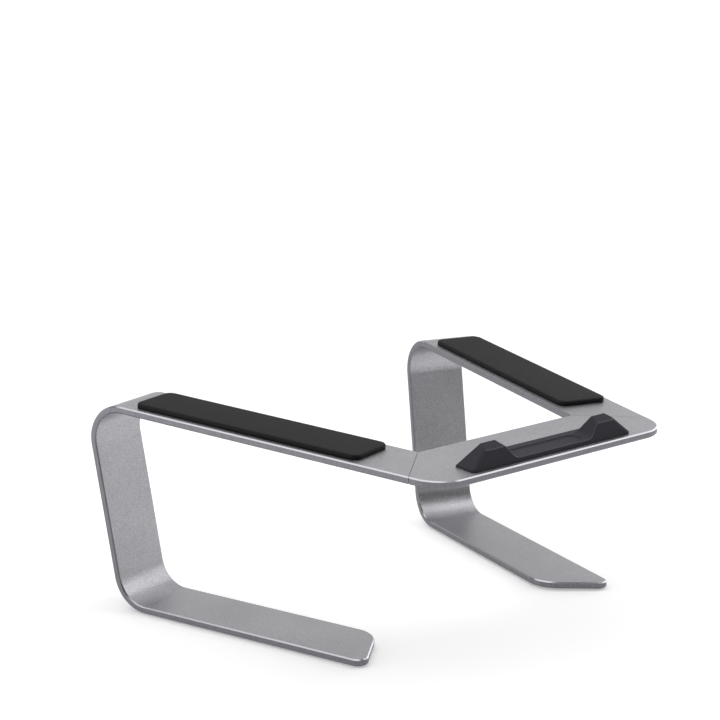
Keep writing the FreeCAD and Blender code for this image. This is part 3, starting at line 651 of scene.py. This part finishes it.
def makeScrews():
    s = screw
    lengths = ("shank", "head", "headDepth", "length", "socket", "socketDepth")
    sizes = {key: s[key] * mm for key in lengths}
    tree, source, output = newTree("screwTree", sizes)
    out = source.outputs
    shankRadius = halfOf(tree, out["shank"])
    head = addNode(tree, "GeometryNodeMeshCone", fill_type="NGON")
    head.inputs["Vertices"].default_value = s["sides"]
    tree.links.new(shankRadius, head.inputs["Radius Top"])
    tree.links.new(halfOf(tree, out["head"]), head.inputs["Radius Bottom"])
    tree.links.new(out["headDepth"], head.inputs["Depth"])
    shank = addNode(tree, "GeometryNodeMeshCylinder", fill_type="NGON")
    shank.inputs["Vertices"].default_value = s["sides"]
    tree.links.new(shankRadius, shank.inputs["Radius"])
    tree.links.new(mathNode(tree, "SUBTRACT", out["length"], out["headDepth"]), shank.inputs["Depth"])
    lift = halfOf(tree, mathNode(tree, "ADD", out["length"], out["headDepth"]))
    lifted = addNode(tree, "ShaderNodeCombineXYZ")
    tree.links.new(lift, lifted.inputs[2])
    moved = addNode(tree, "GeometryNodeTransform")
    tree.links.new(shank.outputs["Mesh"], moved.inputs["Geometry"])
    tree.links.new(lifted.outputs[0], moved.inputs["Translation"])
    hexagon = addNode(tree, "GeometryNodeMeshCylinder", fill_type="NGON")
    hexagon.inputs["Vertices"].default_value = s["socketSides"]
    toCorner = 0.5 / cos(pi / s["socketSides"])  # from the width across flats
    tree.links.new(mathNode(tree, "MULTIPLY", out["socket"], toCorner), hexagon.inputs["Radius"])
    tree.links.new(mathNode(tree, "MULTIPLY", out["socketDepth"], 2.0), hexagon.inputs["Depth"])
    whole = addNode(tree, "GeometryNodeMeshBoolean", operation="UNION", solver="EXACT")
    tree.links.new(head.outputs["Mesh"], whole.inputs["Mesh 2"])
    tree.links.new(moved.outputs[0], whole.inputs["Mesh 2"])
    cut = addNode(tree, "GeometryNodeMeshBoolean", operation="DIFFERENCE", solver="EXACT")
    tree.links.new(whole.outputs["Mesh"], cut.inputs["Mesh 1"])
    tree.links.new(hexagon.outputs["Mesh"], cut.inputs["Mesh 2"])
    placeCopies(tree, source.outputs["Points"], cut.outputs["Mesh"], output, screwMaterial())
    points = []
    for side in (1, -1):
        for x, y, z in s["places"]:  # each is moved square to the deck, onto its underside
            centre = Vector((side * x, y, z)) * mm
            level = (centre - onDeck(0, 0, 0)).dot(deckUp)
            points.append(centre - deckUp * (level + deck["thickness"] * mm))
    ups = [tuple(deckUp)] * len(points)
    headings = [(1.0, 0.0, 0.0)] * len(points)
    piece = runTree("jointScrews", tree, pointMesh("screwPoints", points, headings, ups), sizes)
    piece.data.set_sharp_from_angle(angle=radians(s["sharpAngle"]))
    return finishPiece(piece, "screw_steel", "joint_screws")


makeScrews()

# studio: pale floor, soft lamps, camera at the photograph's place
studio = {
    "floorSize": 30.0, "floorTone": 0.84,
    "nearLift": 0.30, "farLift": 1.0, "liftStart": 0.5, "liftEnd": 3.0,
    "worldLow": 0.13, "worldHigh": 1.05,
    "brightSide": (0.70, 0.71, 0.0), "brightFrom": -0.15, "brightTo": 0.80,
    "fadeFrom": 0.36, "fadeTo": 0.68, "fadeLow": 0.15,
}


def makeFloor():
    half = studio["floorSize"] / 2
    corners = [(-half, -half, 0), (half, -half, 0), (half, half, 0), (-half, half, 0)]
    data = bpy.data.meshes.new("floor")
    data.from_pydata(corners, [], [(0, 1, 2, 3)])
    floor = bpy.data.objects.new("floor", data)
    scene.collection.objects.link(floor)
    material = bpy.data.materials.new("floor_white")
    material.use_nodes = True
    tree = material.node_tree
    tree.nodes.clear()
    matt = addNode(tree, "ShaderNodeBsdfDiffuse")
    matt.inputs["Color"].default_value = (studio["floorTone"],) * 3 + (1,)
    glow = addNode(tree, "ShaderNodeEmission")
    path = addNode(tree, "ShaderNodeLightPath")
    seen = path.outputs["Is Camera Ray"]
    for ray in ("Is Glossy Ray", "Is Transmission Ray"):
        seen = mathNode(tree, "MAXIMUM", seen, path.outputs[ray])
    place = addNode(tree, "ShaderNodeTexCoord")
    away = addNode(tree, "ShaderNodeVectorMath", operation="LENGTH")
    tree.links.new(place.outputs["Object"], away.inputs[0])
    lift = rangeNode(tree, away.outputs["Value"], studio["liftStart"], studio["liftEnd"],
                     studio["nearLift"], studio["farLift"], True)
    tree.links.new(mathNode(tree, "MULTIPLY", seen, lift), glow.inputs["Strength"])
    both = addNode(tree, "ShaderNodeAddShader")
    tree.links.new(matt.outputs[0], both.inputs[0])
    tree.links.new(glow.outputs[0], both.inputs[1])
    oneWay = addNode(tree, "ShaderNodeMixShader")  # clear from below
    tree.links.new(addNode(tree, "ShaderNodeNewGeometry").outputs["Backfacing"], oneWay.inputs[0])
    tree.links.new(both.outputs[0], oneWay.inputs[1])
    tree.links.new(addNode(tree, "ShaderNodeBsdfTransparent").outputs[0], oneWay.inputs[2])
    output = addNode(tree, "ShaderNodeOutputMaterial")
    tree.links.new(oneWay.outputs[0], output.inputs[0])
    data.materials.append(material)


def makeWorld():  # brighter towards one side, and darker again overhead
    world = bpy.data.worlds.new("studio")
    scene.world = world
    world.use_nodes = True
    tree = world.node_tree
    tree.nodes.clear()
    direction = addNode(tree, "ShaderNodeTexCoord").outputs["Generated"]
    toward = dotNode(tree, direction, Vector(studio["brightSide"]).normalized())
    split = addNode(tree, "ShaderNodeSeparateXYZ")
    tree.links.new(direction, split.inputs[0])
    side = rangeNode(tree, toward, studio["brightFrom"], studio["brightTo"], 0.0, 1.0, True)
    fade = rangeNode(tree, split.outputs[2], studio["fadeFrom"], studio["fadeTo"],
                     1.0, studio["fadeLow"], True)
    shade = rangeNode(tree, mathNode(tree, "MULTIPLY", side, fade), 0.0, 1.0,
                      studio["worldLow"], studio["worldHigh"])
    sky = addNode(tree, "ShaderNodeBackground")
    tree.links.new(shade, sky.inputs["Strength"])
    output = addNode(tree, "ShaderNodeOutputWorld")
    tree.links.new(sky.outputs[0], output.inputs[0])


# place, what it points at, width, height and radiance of each soft lamp
lamps = {
    "over": ((-0.14, 0.28, 1.65), (-0.14, 0.29, 0.0), 2.5, 2.4, 1.55),
    "overRight": ((1.36, -0.64, 1.25), (0, -0.05, 0.08), 1.3, 1.15, 1.6),
    "right": ((1.74, -0.42, 0.47), (0, 0, 0.05), 0.9, 0.45, 2.6),
    "left": ((-1.40, 0.50, 0.34), (0, 0, 0.05), 1.0, 0.6, 3.1),
    "rearRight": ((1.80, 0.50, 0.62), (-0.08, -0.04, 0.01), 0.8, 0.7, 2.2),
}


def makeLamps():
    for name, (place, target, width, height, radiance) in lamps.items():
        data = bpy.data.lights.new(name + "Lamp", "AREA")
        data.shape = "RECTANGLE"
        data.size = width
        data.size_y = height
        data.energy = radiance * pi * width * height
        lamp = bpy.data.objects.new(name + "Lamp", data)
        lamp.location = place
        lamp.rotation_euler = (Vector(target) - Vector(place)).to_track_quat("-Z", "Y").to_euler()
        scene.collection.objects.link(lamp)


# place in mm, angles in degrees, lens and sensor in mm, clip in m
view = {
    "place": (-775.83, -841.02, 404.47), "heading": 41.298, "dip": 12.98,
    "lens": 103.52, "sensor": 36.0, "clip": (0.05, 60.0),
}


def makeCamera():
    data = bpy.data.cameras.new("camera")
    data.sensor_fit = "HORIZONTAL"
    data.sensor_width = view["sensor"]
    data.lens = view["lens"]
    data.clip_start, data.clip_end = view["clip"]
    camera = bpy.data.objects.new("camera", data)
    camera.location = Vector(view["place"]) * mm
    turn = radians(view["heading"])
    dip = radians(view["dip"])
    forward = Vector((sin(turn) * cos(dip), cos(turn) * cos(dip), -sin(dip)))
    camera.rotation_euler = forward.to_track_quat("-Z", "Y").to_euler()
    scene.collection.objects.link(camera)
    scene.camera = camera


makeFloor()
makeWorld()
makeLamps()
makeCamera()
print("studio ready")
